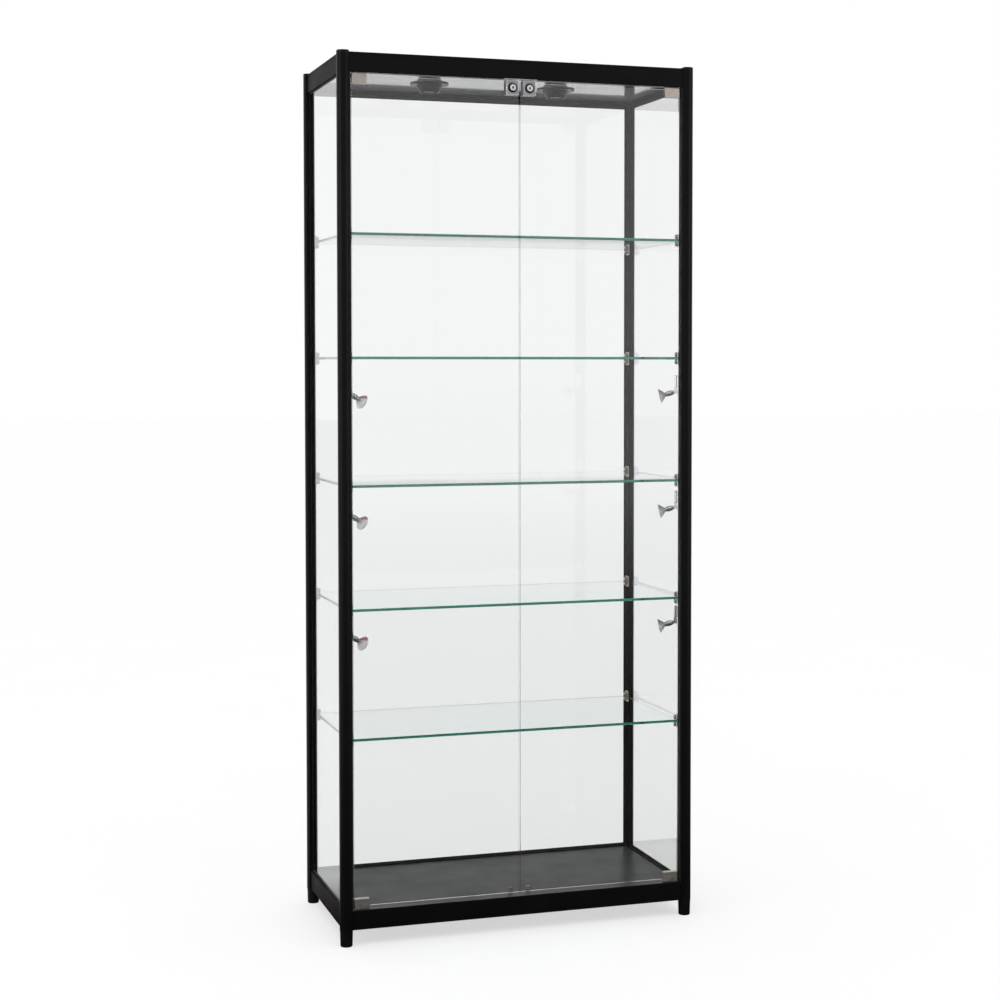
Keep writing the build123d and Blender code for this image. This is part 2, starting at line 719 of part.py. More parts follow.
def make_spot_head(side, level):
    """The tilting head: a tang on the pin, a round holder, a flared reflector and a lamp capsule."""
    _, aim, tilt_axis = spot_directions(side)
    pivot = Vector(side * spot_x, spot_y, level)
    # Section through the aim: local x runs along the aim, local y across it.
    section = Plane(pivot, x_dir=aim, z_dir=tilt_axis)
    aim_axis = Axis(pivot, aim)
    cup_start = holder_start + holder_length
    cup_end = cup_start + reflector_length
    cup_middle = (cup_start + cup_end) / 2
    holder_middle = holder_start + holder_length / 2
    bulge_radius = (holder_end_radius + reflector_radius) / 2 + reflector_bulge
    outer_start = (cup_start, holder_end_radius)
    outer_middle = (cup_middle, bulge_radius)
    outer_end = (cup_end, reflector_radius)
    inner_start = (cup_start, holder_end_radius - reflector_wall)
    inner_middle = (cup_middle, bulge_radius - reflector_wall)
    inner_end = (cup_end, reflector_radius - reflector_wall)
    with BuildPart() as head:
        with BuildSketch(Plane(pivot - tilt_axis * (tang_width / 2), x_dir=aim, z_dir=tilt_axis)):
            Circle(fork_radius)
            with Locations((holder_start / 2, 0)):
                Rectangle(holder_start, tang_height)
            Circle(tilt_pin_radius + running_clearance, mode=Mode.SUBTRACT)
        extrude(amount=tang_width)
        with BuildSketch(section):
            with BuildLine():
                ThreePointArc((holder_start, holder_end_radius), (holder_middle, holder_radius),
                              (cup_start, holder_end_radius))
                Polyline((cup_start, holder_end_radius), (cup_start, 0), (holder_start, 0),
                         (holder_start, holder_end_radius))
            make_face()
        revolve(axis=aim_axis)
        with BuildSketch(section):
            with BuildLine():
                ThreePointArc(outer_start, outer_middle, outer_end)
                Line(outer_end, inner_end)
                ThreePointArc(inner_end, inner_middle, inner_start)
                Line(inner_start, outer_start)
            make_face()
        revolve(axis=aim_axis)
        with BuildSketch(section):
            with BuildLine():
                straight = capsule_length - capsule_radius
                Polyline((cup_start + straight, capsule_radius), (cup_start, capsule_radius),
                         (cup_start, 0), (cup_start + capsule_length, 0))
                RadiusArc((cup_start + capsule_length, 0), (cup_start + straight, capsule_radius),
                          -capsule_radius)
            make_face()
        revolve(axis=aim_axis)
    return head.part


spot_number = 0
for side in (-1, 1):
    for level in spot_levels:
        spot_number += 1
        save(make_spot_arm(side, level), f"spot_{spot_number}_arm")
        save(make_spot_head(side, level), f"spot_{spot_number}_head")

# ---- ceiling lights: a hat-shaped housing through the ceiling panel, and a lens in its mouth ----
light_mouth = ceiling_base - light_drop
light_can_top = ceiling_top + light_can_height
light_can_bore = light_can_radius - light_wall
with BuildPart() as ceiling_light_housings:
    for side in (-1, 1):
        brim_base = ceiling_base - light_brim_thickness
        with BuildSketch(Plane((side * light_offset, light_setback, 0), x_dir=(1, 0, 0), z_dir=(0, -1, 0))):
            with BuildLine():
                Polyline((light_mouth_radius, light_mouth), (light_dome_radius, brim_base),
                         (light_brim_radius, brim_base), (light_brim_radius, ceiling_base),
                         (light_can_radius, ceiling_base), (light_can_radius, light_can_top),
                         (0, light_can_top), (0, light_can_top - light_wall),
                         (light_can_bore, light_can_top - light_wall), (light_can_bore, ceiling_base),
                         (light_mouth_radius - light_wall, light_mouth), close=True)
            make_face()
        revolve(axis=Axis((side * light_offset, light_setback, 0), (0, 0, 1)))
save(ceiling_light_housings.part, "ceiling_light_housings")

with BuildPart() as ceiling_light_lenses:
    with BuildSketch(Plane.XY.offset(light_mouth + lens_recess)):
        with Locations((-light_offset, light_setback), (light_offset, light_setback)):
            Circle(light_mouth_radius - light_wall)
    extrude(amount=lens_thickness)
save(ceiling_light_lenses.part, "ceiling_light_lenses")

# ---- lighting driver on the ceiling panel, its leads and the cable gland in the rear rail ----
with BuildPart() as lighting_driver:
    with BuildSketch(Plane((0, light_setback, ceiling_top))):
        RectangleRounded(driver_length, driver_width, driver_round)
    extrude(amount=driver_height)
    fillet(lighting_driver.edges().group_by(Axis.Z)[-1], driver_top_round)
save(lighting_driver.part, "lighting_driver")

with BuildPart() as supply_leads:
    lamp_reach = light_offset - light_can_radius - driver_length / 2
    for side in (-1, 1):
        with BuildSketch(Plane((side * driver_length / 2, light_setback, lead_level), z_dir=(side, 0, 0))):
            Circle(lead_radius)
        extrude(amount=lamp_reach)
save(supply_leads.part, "supply_leads")

with BuildPart() as cable_gland:
    rail_face = post_y + rail_outer
    with BuildSketch(Plane((gland_offset, rail_face, lead_level), z_dir=(0, 1, 0))):
        Circle(gland_flange_radius)
    extrude(amount=gland_flange_thickness)
    with BuildSketch(Plane((gland_offset, rail_face, lead_level), z_dir=(0, 1, 0))):
        Circle(gland_barrel_radius)
    extrude(amount=-rail_thickness)
    with BuildSketch(Plane((gland_offset, rail_face + gland_flange_thickness, lead_level), z_dir=(0, 1, 0))):
        Circle(gland_bore_radius)
    extrude(amount=-(rail_thickness + gland_flange_thickness), mode=Mode.SUBTRACT)
save(cable_gland.part, "cable_gland")
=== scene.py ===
import bpy
import bmesh
import json
import math
from mathutils import Matrix, Vector


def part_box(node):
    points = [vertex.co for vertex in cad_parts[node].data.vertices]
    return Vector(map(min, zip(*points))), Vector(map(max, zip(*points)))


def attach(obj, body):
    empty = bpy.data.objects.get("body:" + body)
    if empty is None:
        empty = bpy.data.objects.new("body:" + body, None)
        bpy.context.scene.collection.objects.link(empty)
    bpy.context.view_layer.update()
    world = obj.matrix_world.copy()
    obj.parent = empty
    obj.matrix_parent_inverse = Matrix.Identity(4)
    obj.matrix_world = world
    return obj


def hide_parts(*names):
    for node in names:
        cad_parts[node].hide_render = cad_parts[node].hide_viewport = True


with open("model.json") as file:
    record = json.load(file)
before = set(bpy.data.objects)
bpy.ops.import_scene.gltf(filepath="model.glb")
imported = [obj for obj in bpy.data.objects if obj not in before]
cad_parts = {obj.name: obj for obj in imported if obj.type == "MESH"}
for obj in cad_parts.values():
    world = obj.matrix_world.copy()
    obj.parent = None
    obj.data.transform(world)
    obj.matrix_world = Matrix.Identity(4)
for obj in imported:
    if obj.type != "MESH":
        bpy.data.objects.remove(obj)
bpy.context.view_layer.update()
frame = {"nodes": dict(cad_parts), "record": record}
nodes = frame["nodes"]
joints = {joint["name"]: joint for joint in frame["record"]["behaviour"]["joints"]}

# ---- sizes in metres that the looks share with the design ----
MM = 0.001
SPOT_AZIMUTH = math.radians(24)
SPOT_TILT = {-1: math.radians(30), 1: math.radians(15)}
HOLDER_START = 6 * MM
HOLDER_LENGTH = 20 * MM
HOLDER_RADIUS = 6.5 * MM
HOLDER_END_RADIUS = 5 * MM
REFLECTOR_LENGTH = 14 * MM
REFLECTOR_RADIUS = 17.5 * MM
REFLECTOR_BULGE = 0.7 * MM
REFLECTOR_WALL = 0.8 * MM
REFLECTOR_FLUTES = 18
REFLECTOR_FLUTE_DEPTH = 0.012
CAPSULE_LENGTH = 10 * MM
CAPSULE_RADIUS = 2.6 * MM
TANG_WIDTH = 4 * MM
TANG_RADIUS = 4 * MM
TANG_HEIGHT = 7 * MM
LOCK_DISH_RADIUS = 11 * MM
LOCK_DISH_DEPTH = 2 * MM
PLUG_DISH_DEPTH = 0.8 * MM
LOCK_FRAME_RISE = 1.1 * MM
# Thickness of the near-black disc of painted shade in each lock's dish.
LOCK_SHADE_DISC_THICKNESS = 0.3 * MM
KEYWAY_HALF_HEIGHT = 3.6 * MM
KEYWAY_HALF_WIDTH = 2.3 * MM
DRIVER_RIBS = 9
SIDES = {"left": -1, "right": 1}
SPOTS = range(1, 7)
SHELVES = range(1, 6)
WELD_DISTANCE = 0.01 * MM

# ---- the studio and the camera ----
FLOOR_SIZE = 40
FLOOR_SHADE = 0.30
FLOOR_GLOW = 0.62
SOFT_BOX_SIZE = (0.8, 3.0)
SOFT_BOX_WATTS = 30
SUN_STRENGTH = 1.36
LIGHT_TARGET = (0, 0, 1.0)
WHITE = (1, 1, 1, 1)
PIXELS = 1000
FOCAL_PIXELS = 1928
SENSOR_MM = 36
CAMERA_PLACE = (-1.314, -4.352, 1.294)
CAMERA_DOWN = math.radians(2.25)
CAMERA_TURN = math.radians(-18.10)
CAMERA_SHIFT = (-0.04, -0.06)
LIGHT_BOUNCES = 24


# ======== materials ========
def map_range(tree, source, from_low, from_high, to_low, to_high):
    """A clamped Map Range node fed by an output."""
    node = tree.nodes.new("ShaderNodeMapRange")
    node.inputs["From Min"].default_value = from_low
    node.inputs["From Max"].default_value = from_high
    node.inputs["To Min"].default_value = to_low
    node.inputs["To Max"].default_value = to_high
    tree.links.new(source, node.inputs["Value"])
    return node


class Look:
    """A node material under construction: a Principled shader and helpers that feed its sockets."""

    def __init__(self, name, base, roughness, metallic=0.0, specular=0.5):
        self.material = bpy.data.materials.new(name)
        self.material.use_nodes = True
        self.tree = self.material.node_tree
        self.shader = self.tree.nodes["Principled BSDF"]
        self.output = self.tree.nodes["Material Output"]
        self.shader.inputs["Base Color"].default_value = (*base, 1)
        self.shader.inputs["Roughness"].default_value = roughness
        self.shader.inputs["Metallic"].default_value = metallic
        self.shader.inputs["Specular IOR Level"].default_value = specular
        self.base = base
        self.roughness = roughness
        self.place = self.tree.nodes.new("ShaderNodeTexCoord").outputs["Object"]

    def link(self, source, target):
        self.tree.links.new(source, target)

    def noise(self, scale, detail=3.0, stretch=(1, 1, 1)):
        """Fractal noise in the object's own space, stretched along an axis by its scale."""
        mapping = self.tree.nodes.new("ShaderNodeMapping")
        mapping.inputs["Scale"].default_value = stretch
        self.link(self.place, mapping.inputs["Vector"])
        texture = self.tree.nodes.new("ShaderNodeTexNoise")
        texture.inputs["Scale"].default_value = scale
        texture.inputs["Detail"].default_value = detail
        self.link(mapping.outputs["Vector"], texture.inputs["Vector"])
        return texture.outputs["Fac"]

    def spread(self, factor, low, high):
        """The factor's middle range mapped to low..high."""
        return map_range(self.tree, factor, 0.3, 0.7, low, high).outputs["Result"]

    def vary_colour(self, factor, amount):
        """Lighten and darken the base colour by a share."""
        mix = self.tree.nodes.new("ShaderNodeMix")
        mix.data_type = "RGBA"
        mix.inputs["A"].default_value = (*[c * (1 - amount) for c in self.base], 1)
        mix.inputs["B"].default_value = (*[min(1, c * (1 + amount)) for c in self.base], 1)
        self.link(self.spread(factor, 0, 1), mix.inputs["Factor"])
        self.link(mix.outputs["Result"], self.shader.inputs["Base Color"])

    def vary_roughness(self, factor, amount):
        self.link(self.spread(factor, max(0, self.roughness - amount), self.roughness + amount),
                  self.shader.inputs["Roughness"])

    def bump(self, factor, strength, distance):
        node = self.tree.nodes.new("ShaderNodeBump")
        node.inputs["Strength"].default_value = strength
        node.inputs["Distance"].default_value = distance
        self.link(factor, node.inputs["Height"])
        self.link(node.outputs["Normal"], self.shader.inputs["Normal"])


def extruded(name, base, axis, roughness=0.34, metallic=0.0, specular=0.13):
    """Satin anodised extrusion: fine die lines along one axis, and a little handling wear."""
    look = Look(name, base, roughness, metallic, specular)
    stretch = [900, 900, 900]
    stretch["xyz".index(axis)] = 3
    lines = look.noise(1.0, 2.0, stretch)
    look.bump(lines, 0.12, 0.0002)
    look.vary_roughness(look.noise(9.0, 4.0), 0.05)
    look.vary_colour(look.noise(14.0, 5.0), 0.18)
    return look.material


def brushed(name, base, roughness=0.28, stretch=(60, 60, 1400), strength=0.18):
    """Brushed plated metal."""
    look = Look(name, base, roughness, 1.0)
    grain = look.noise(1.0, 3.0, stretch)
    look.bump(grain, strength, 0.0001)
    look.vary_roughness(grain, 0.07)
    look.vary_colour(look.noise(60.0, 4.0), 0.08)
    return look.material


def polished(name, base, roughness=0.07):
    """Chrome plate with faint haze and finger marks."""
    look = Look(name, base, roughness, 1.0)
    look.vary_roughness(look.noise(120.0, 5.0), 0.04)
    look.vary_colour(look.noise(45.0, 3.0), 0.04)
    look.bump(look.noise(500.0, 2.0), 0.03, 0.0001)
    return look.material


def moulded(name, base, roughness=0.42, grain=1800.0, specular=0.5):
    """Moulded plastic or rubber with a fine spark-eroded grain."""
    look = Look(name, base, roughness, 0.0, specular)
    look.bump(look.noise(grain, 2.0), 0.2, 0.00008)
    look.vary_roughness(look.noise(70.0, 4.0), 0.08)
    look.vary_colour(look.noise(35.0, 5.0), 0.15)
    return look.material


def laminate(name, base, roughness, coat=0.0, specular=0.5):
    """Laminated board with an even fleck and light rubbing."""
    look = Look(name, base, roughness, specular=specular)
    look.shader.inputs["Coat Weight"].default_value = coat
    look.shader.inputs["Coat Roughness"].default_value = 0.04
    look.vary_colour(look.noise(700.0, 3.0), 0.06)
    look.vary_roughness(look.noise(12.0, 5.0), 0.05)
    look.bump(look.noise(1200.0, 2.0), 0.06, 0.0001)
    return look.material


def float_glass(name, absorption, density):
    """Clear float glass that tints by depth, so its edges look green, and lets lamps through."""
    look = Look(name, (1, 1, 1), 0.0)
    look.shader.inputs["Transmission Weight"].default_value = 1.0
    look.shader.inputs["IOR"].default_value = 1.5
    look.bump(look.noise(3.0, 1.0), 0.5, 0.0002)
    tree = look.tree
    clear = tree.nodes.new("ShaderNodeBsdfTransparent")
    path = tree.nodes.new("ShaderNodeLightPath")
    mix = tree.nodes.new("ShaderNodeMixShader")
    lets_through = tree.nodes.new("ShaderNodeMath")
    lets_through.operation = "MAXIMUM"
    look.link(path.outputs["Is Shadow Ray"], lets_through.inputs[0])
    look.link(path.outputs["Is Diffuse Ray"], lets_through.inputs[1])
    look.link(lets_through.outputs["Value"], mix.inputs["Fac"])
    look.link(look.shader.outputs["BSDF"], mix.inputs[1])
    look.link(clear.outputs["BSDF"], mix.inputs[2])
    look.link(mix.outputs["Shader"], look.output.inputs["Surface"])
    volume = tree.nodes.new("ShaderNodeVolumeAbsorption")
    volume.inputs["Color"].default_value = (*absorption, 1)
    volume.inputs["Density"].default_value = density
    look.link(volume.outputs["Volume"], look.output.inputs["Volume"])
    return look.material


def soft_clear(name, base, roughness, transmission):
    """Soft clear plastic."""
    look = Look(name, base, roughness)
    look.shader.inputs["Transmission Weight"].default_value = transmission
    look.vary_roughness(look.noise(300.0, 3.0), 0.06)
    look.vary_colour(look.noise(150.0, 3.0), 0.06)
    return look.material


def dichroic(name):
    """Clear pressed-glass mirror with a thin coating that turns red towards its upper edge."""
    look = Look(name, (0.86, 0.85, 0.88), 0.18)
    look.shader.inputs["Transmission Weight"].default_value = 0.72
    place = look.tree.nodes.new("ShaderNodeSeparateXYZ")
    look.link(look.tree.nodes["Texture Coordinate"].outputs["Generated"], place.inputs["Vector"])
    blur = look.tree.nodes.new("ShaderNodeMath")
    blur.operation = "MULTIPLY_ADD"
    look.link(look.noise(260.0, 2.0), blur.inputs[0])
    blur.inputs[1].default_value = 0.25
    look.link(place.outputs["Z"], blur.inputs[2])
    ramp = look.tree.nodes.new("ShaderNodeValToRGB")
    ramp.color_ramp.elements[0].color = (0.90, 0.90, 0.92, 1)
    ramp.color_ramp.elements[0].position = 0.45
    ramp.color_ramp.elements[1].color = (0.34, 0.12, 0.11, 1)
    ramp.color_ramp.elements[1].position = 1.0
    violet = ramp.color_ramp.elements.new(0.78)
    violet.color = (0.68, 0.65, 0.74, 1)
    plum = ramp.color_ramp.elements.new(0.93)
    plum.color = (0.44, 0.30, 0.34, 1)
    look.link(blur.outputs["Value"], ramp.inputs["Fac"])
    look.link(ramp.outputs["Color"], look.shader.inputs["Base Color"])
    look.vary_roughness(look.noise(240.0, 3.0), 0.05)
    look.bump(look.noise(420.0, 1.0), 0.25, 0.0004)
    return look.material


def frosted_lens(name):
    """Opal diffuser with a fine prismatic pattern."""
    look = Look(name, (0.72, 0.72, 0.70), 0.4)
    cells = look.tree.nodes.new("ShaderNodeTexVoronoi")
    cells.inputs["Scale"].default_value = 700.0
    look.link(look.place, cells.inputs["Vector"])
    look.bump(cells.outputs["Distance"], 0.5, 0.0003)
    look.vary_colour(look.noise(60.0, 3.0), 0.06)
    look.vary_roughness(look.noise(90.0, 3.0), 0.08)
    return look.material


BLACK = (0.0042, 0.0040, 0.0042)
looks = {
    "posts": extruded("anodised_post", BLACK, "z"),
    "rails_x": extruded("anodised_long_rail", BLACK, "x"),
    # The side rails get a lighter, browner, duller copy of the long rails' anodised black: painted light.
    "rails_y": extruded("anodised_side_rail", (0.0100, 0.0080, 0.0070), "y", 0.42, specular=0.015),
    "plastic": moulded("black_moulding", (0.004, 0.004, 0.004), 0.36, specular=0.2),
    "rubber": moulded("black_seal", (0.012, 0.012, 0.012), 0.6, specular=0.3),
    "pads": moulded("grey_sleeve", (0.25, 0.24, 0.21), 0.4),
    "nickel": brushed("brushed_nickel_plate", (0.66, 0.60, 0.55), 0.32, strength=0.07),
    "chrome": polished("chrome_plate", (0.80, 0.80, 0.82)),
    "dark_chrome": polished("dark_chrome_plate", (0.42, 0.43, 0.43), 0.10),
    "bronze": brushed("bearing_bronze", (0.55, 0.42, 0.25), 0.35),
    "mill": brushed("mill_aluminium", (0.6, 0.6, 0.6), 0.4),
    "floor": laminate("floor_board", (0.030, 0.030, 0.0305), 0.34, specular=0.06),
    # The ceiling board's light grey base stands in for the bright light its glossy face reflects: painted
    # reflection.
    "ceiling": laminate("ceiling_board", (0.30, 0.30, 0.305), 0.14, 0.6),
    "glass": float_glass("clear_pane", (0.10, 0.22, 0.19), 9.0),
    "shelf_glass": float_glass("shelf_pane", (0.24, 0.66, 0.60), 13.0),
    "bumper": soft_clear("clear_bumper", (0.70, 0.66, 0.60), 0.12, 0.92),
    "lamp": moulded("lamp_housing", (0.012, 0.012, 0.014), 0.34, specular=0.3),
    "lens": frosted_lens("opal_lens"),
    "dichroic": dichroic("dichroic_mirror"),
    "capsule": soft_clear("lamp_capsule", (0.92, 0.92, 0.90), 0.08, 0.8),
    "lock": brushed("satin_lock_case", (0.46, 0.46, 0.48), 0.36, (900, 900, 900), 0.06),
    # Near-black moulding used as painted shade: a disc in each lock's dish and the keyway diamond on its
    # plug.
    "painted_shade": moulded("lock_painted_shade_disc", (0.006, 0.006, 0.006), 0.5, specular=0.15),
    "collar": brushed("lock_collar", (0.045, 0.045, 0.05), 0.3, (60, 1400, 60)),
    "sheath": moulded("lead_sheath", (0.62, 0.62, 0.60), 0.45),
    "white_case": moulded("driver_case", (0.60, 0.60, 0.59), 0.42),
}

NODE_LOOKS = {
    "posts": ["front_left_post", "front_right_post", "rear_left_post", "rear_right_post"],
    "rails_x": ["bottom_front_rail", "bottom_rear_rail", "top_front_rail", "top_rear_rail"],
    "rails_y": ["bottom_left_rail", "bottom_right_rail", "top_left_rail", "top_right_rail"],
    "plastic": ["post_caps", "feet", "cable_gland"],
    "rubber": ["glass_gaskets", "door_jamb_seals"],
    "pads": ["clamp_pads"],
    "nickel": ["shelf_clamps", "strike_plate", "left_door_clamps", "right_door_clamps"],
    "chrome": ["spot_brackets"] + [f"{side}_lock_{part}" for side in SIDES for part in ("cylinder", "bolt")]
              + [f"spot_{number}_arm" for number in SPOTS],
    "lock": [f"{side}_lock_body" for side in SIDES],
    "bronze": ["hinge_bushes"],
    "mill": ["rail_end_plugs"],
    "floor": ["floor_panel"],
    "ceiling": ["ceiling_panel"],
    "glass": ["left_side_glass", "right_side_glass", "back_glass", "left_door_glass", "right_door_glass"],
    "shelf_glass": [f"shelf_{number}" for number in SHELVES],
    "bumper": ["door_bumpers"],
    "lamp": ["ceiling_light_housings"],
    "lens": ["ceiling_light_lenses"],
    "sheath": ["supply_leads"],
}

# Width of the rounded arris on each kind of piece.
ARRIS = {
    "glass": 0.6 * MM, "shelf_glass": 0.6 * MM, "rubber": 0.2 * MM, "floor": 0.4 * MM, "ceiling": 0.4 * MM,
    "nickel": 0.35 * MM, "chrome": 0.2 * MM, "lock": 0.3 * MM, "pads": 1.2 * MM, "lens": 0.4 * MM,
    "mill": 0.3 * MM,
}


def soften(obj, width, segments=2, angle=35):
    """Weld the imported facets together, round the sharp edges and shade the rest by face area."""
    weld = obj.modifiers.new("weld", "WELD")
    weld.merge_threshold = WELD_DISTANCE
    flats = obj.modifiers.new("flats", "DECIMATE")
    flats.decimate_type = "DISSOLVE"
    flats.angle_limit = math.radians(1)
    bevel = obj.modifiers.new("arris", "BEVEL")
    bevel.width = width
    bevel.segments = segments
    bevel.limit_method = "ANGLE"
    bevel.angle_limit = math.radians(angle)
    bevel.use_clamp_overlap = True
    for polygon in obj.data.polygons:
        polygon.use_smooth = True
    obj.modifiers.new("shading", "WEIGHTED_NORMAL")


for look_name, node_names in NODE_LOOKS.items():
    for node_name in node_names:
        obj = nodes[node_name]
        obj.material_slots[0].material = looks[look_name]
        if look_name in ARRIS:
            soften(obj, ARRIS[look_name])


# ======== mesh helpers ========
def finish_mesh(name, mesh_builder, look, body, smooth_angle=40):
    """Turn a filled bmesh into a smooth-shaded piece with the given material that rides on a body."""
    mesh = bpy.data.meshes.new(name)
    bmesh.ops.recalc_face_normals(mesh_builder, faces=mesh_builder.faces)
    mesh_builder.to_mesh(mesh)
    mesh_builder.free()
    for polygon in mesh.polygons:
        polygon.use_smooth = True
    mesh.set_sharp_from_angle(angle=math.radians(smooth_angle))
    piece = bpy.data.objects.new(name, mesh)
    bpy.context.collection.objects.link(piece)
    piece.data.materials.append(look)
    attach(piece, body)
    return piece


def lathe(builder, profile, place, steps=48, wave=0.0, waves=0):
    """Spin a profile of (along, radius) points about the local x axis of a placement matrix.

    A wave makes shallow flutes round the shape.  The profile is closed on the axis at both ends.
    """
    rings = []
    for along, radius in profile:
        if radius < 1e-7:
            rings.append([builder.verts.new(place @ Vector((along, 0, 0)))])
            continue
        ring = []
        for step in range(steps):
            turn = 2 * math.pi * step / steps
            r = radius * (1 + wave * math.cos(waves * turn))
            ring.append(builder.verts.new(place @ Vector((along, r * math.cos(turn), r * math.sin(turn)))))
        rings.append(ring)
    for one, two in zip(rings, rings[1:]):
        for step in range(steps):
            after = (step + 1) % steps
            corners = [one[step % len(one)], one[after % len(one)],
                       two[after % len(two)], two[step % len(two)]]
            builder.faces.new(list(dict.fromkeys(corners)))


def arc_points(start, end, bulge, count):
    """Points on a shallow arc between two profile points."""
    points = []
    for index in range(count + 1):
        share = index / count
        along = start[0] + (end[0] - start[0]) * share
        radius = start[1] + (end[1] - start[1]) * share + bulge * 4 * share * (1 - share)
        points.append((along, radius))
    return points


# ======== spot lamps ========
def spot_place(number):
    """The lamp's tilt pivot with local x along its aim and local z along its tilt axis."""
    joint = joints[f"spot_{number}_tilt"]
    pivot = Vector(joint["pos_m"])
    side = -1 if pivot.x < 0 else 1
    heading = Vector((-side * math.cos(SPOT_AZIMUTH), math.sin(SPOT_AZIMUTH), 0))
    tilt = SPOT_TILT[side]
    aim = heading * math.cos(tilt) - Vector((0, 0, 1)) * math.sin(tilt)
    tilt_axis = Vector((0, 0, 1)).cross(heading)
    across = tilt_axis.cross(aim)
    rotation = Matrix((aim, across, tilt_axis)).transposed().to_4x4()
    return Matrix.Translation(pivot) @ rotation


def make_spot_head(number):
    """The holder with its tang, the flared reflector, its rim and the capsule."""
    place = spot_place(number)
    body = f"spot_{number}_lamp"
    start, end = HOLDER_START, HOLDER_START + HOLDER_LENGTH
    chamfer = 0.5 * MM

    # The holder is a small barrel with two fine turned grooves near its ends.
    holder = bmesh.new()
    crown = HOLDER_RADIUS - HOLDER_END_RADIUS
    barrel = arc_points((start, HOLDER_END_RADIUS), (end, HOLDER_END_RADIUS), crown, 16)
    profile = [(start, 0), (start, HOLDER_END_RADIUS - chamfer)]
    for index, (along, radius) in enumerate(barrel[1:-1], start=1):
        cut = 0.5 * MM if index in (3, 13) else 0.0
        profile.append((along, radius - cut))
    profile += [(end, HOLDER_END_RADIUS - chamfer), (end, 0)]
    lathe(holder, profile, place)
    # The tang's round eye turns on the tilt pin; its web runs into the holder.
    upright = place @ Matrix.Rotation(math.pi / 2, 4, "Y")
    half = TANG_WIDTH / 2
    edge = 0.4 * MM
    lathe(holder, [(-half, 0), (-half, TANG_RADIUS - edge), (-half + edge, TANG_RADIUS),
                   (half - edge, TANG_RADIUS), (half, TANG_RADIUS - edge), (half, 0)], upright, 32)
    web = bmesh.ops.create_cube(holder, size=1)["verts"]
    web_size = Matrix.Diagonal((start + 2 * edge, TANG_HEIGHT - edge, TANG_WIDTH - edge, 1))
    bmesh.ops.transform(holder, matrix=place @ Matrix.Translation((start / 2 + edge, 0, 0)) @ web_size,
                        verts=web)
    holder_piece = finish_mesh(f"spot_{number}_holder", holder, looks["dark_chrome"], body)
    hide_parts(f"spot_{number}_head")

    mouth = end + REFLECTOR_LENGTH
    neck = HOLDER_END_RADIUS - 0.2 * MM
    reflector = bmesh.new()
    outer = arc_points((end, neck), (mouth, REFLECTOR_RADIUS - 0.5 * MM), REFLECTOR_BULGE, 10)
    inner = arc_points((mouth - 0.2 * MM, REFLECTOR_RADIUS - REFLECTOR_WALL - 0.5 * MM),
                       (end + REFLECTOR_WALL, neck - REFLECTOR_WALL), REFLECTOR_BULGE, 10)
    lathe(reflector, [(end, 0)] + outer + inner + [(end + REFLECTOR_WALL, 0)], place, 72,
          REFLECTOR_FLUTE_DEPTH, REFLECTOR_FLUTES)
    finish_mesh(f"spot_{number}_reflector", reflector, looks["dichroic"], body, 25)

    rim = bmesh.new()
    lathe_ring(rim, mouth - 0.8 * MM, REFLECTOR_RADIUS - 0.9 * MM, 0.8 * MM, place)
    finish_mesh(f"spot_{number}_rim", rim, looks["chrome"], body)

    capsule = bmesh.new()
    tip = end + CAPSULE_LENGTH
    dome = [(tip - CAPSULE_RADIUS + CAPSULE_RADIUS * math.sin(a), CAPSULE_RADIUS * math.cos(a))
            for a in [math.radians(step) for step in range(0, 90, 15)]]
    lathe(capsule, [(end + 1 * MM, 0), (end + 1 * MM, CAPSULE_RADIUS)] + dome + [(tip, 0)], place, 32)
    finish_mesh(f"spot_{number}_capsule", capsule, looks["capsule"], body)


def lathe_ring(builder, along, radius, thickness, place, steps=56, sides=10):
    """A closed round ring about the local x axis."""
    rings = []
    for step in range(steps):
        turn = 2 * math.pi * step / steps
        ring = []
        for side in range(sides):
            angle = 2 * math.pi * side / sides
            r = radius + thickness * math.cos(angle)
            point = Vector((along + thickness * math.sin(angle), r * math.cos(turn), r * math.sin(turn)))
            ring.append(builder.verts.new(place @ point))
        rings.append(ring)
    for step in range(steps):
        one, two = rings[step], rings[(step + 1) % steps]
        for side in range(sides):
            after = (side + 1) % sides
            builder.faces.new([one[side], one[after], two[after], two[side]])


for spot_number in SPOTS:
    make_spot_head(spot_number)


# ======== locks ========
def lathe_tube(builder, near, far, inner, outer, place, steps=64):
    """A flat-ended tube about the local x axis."""
    corners = [(near, inner), (near, outer), (far, outer), (far, inner)]
    rings = []
    for along, radius in corners:
        rings.append([builder.verts.new(place @ Vector((along, radius * math.cos(2 * math.pi * step / steps),
                                                        radius * math.sin(2 * math.pi * step / steps))))
                      for step in range(steps)])
    for index, one in enumerate(rings):
        two = rings[(index + 1) % len(rings)]
        for step in range(steps):
            after = (step + 1) % steps
            builder.faces.new([one[step], one[after], two[after], two[step]])


